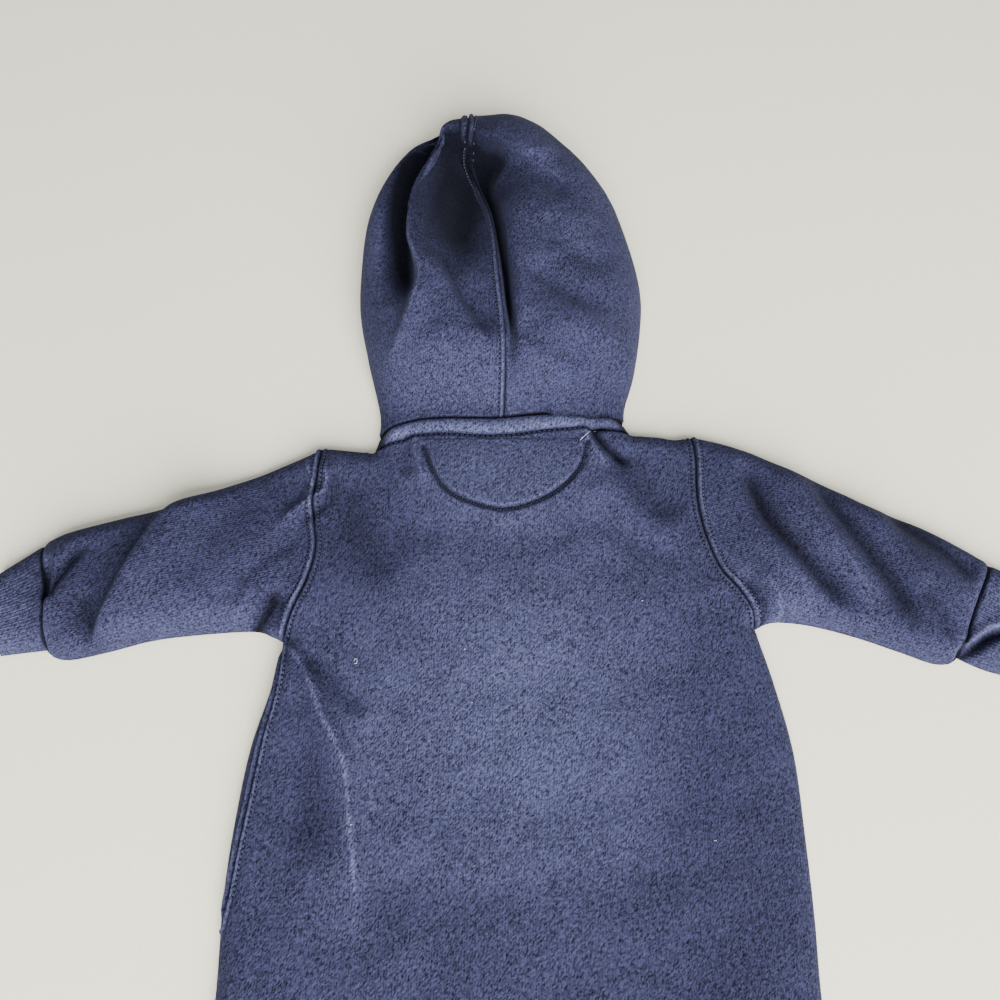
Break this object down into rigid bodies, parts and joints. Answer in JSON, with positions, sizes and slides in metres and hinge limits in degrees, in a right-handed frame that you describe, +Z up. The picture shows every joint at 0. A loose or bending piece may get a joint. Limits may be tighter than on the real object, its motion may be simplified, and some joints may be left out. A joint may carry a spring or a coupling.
{
  "type": "sweatshirt romper",
  "caption": "Baby's hooded long-sleeved fleece romper laid face down, with rib cuffs, a centre-seamed hood, a stitched half-moon at the back neck and a front placket with snaps",
  "frame": {"origin": "middle of the underside of the whole garment, on the surface it lies on", "axes": "+Z up out of the surface, +Y from the ankles to the hood, +X to the side of the right sleeve, as seen from behind the wearer"},
  "size_m": [0.555, 0.7836, 0.0486],
  "materials": {
    "navy_fleece": "brushed, slightly heathered navy sweatshirt fleece with fine knit wales, worn pale along folds and seams",
    "navy_rib": "matte navy rib knit with fine parallel ribs",
    "navy_jersey": "flat matte navy jersey",
    "snap_cap": "smooth semi-gloss navy snap caps"
  },
  "bodies": {
    "root": {"back_panel": "navy_fleece", "front_left": "navy_fleece", "front_right": "navy_fleece", "neck_band": "navy_fleece", "half_moon_facing": "navy_jersey", "hood_left": "navy_fleece", "sleeve_left": "navy_fleece", "cuff_left": "navy_rib", "ankle_cuff_left": "navy_rib", "hood_right": "navy_fleece", "sleeve_right": "navy_fleece", "cuff_right": "navy_rib", "ankle_cuff_right": "navy_rib", "snap_1": "snap_cap", "snap_2": "snap_cap", "snap_3": "snap_cap", "snap_4": "snap_cap", "snap_5": "snap_cap", "snap_6": "snap_cap", "snap_7": "snap_cap"}
  },
  "joints": []
}
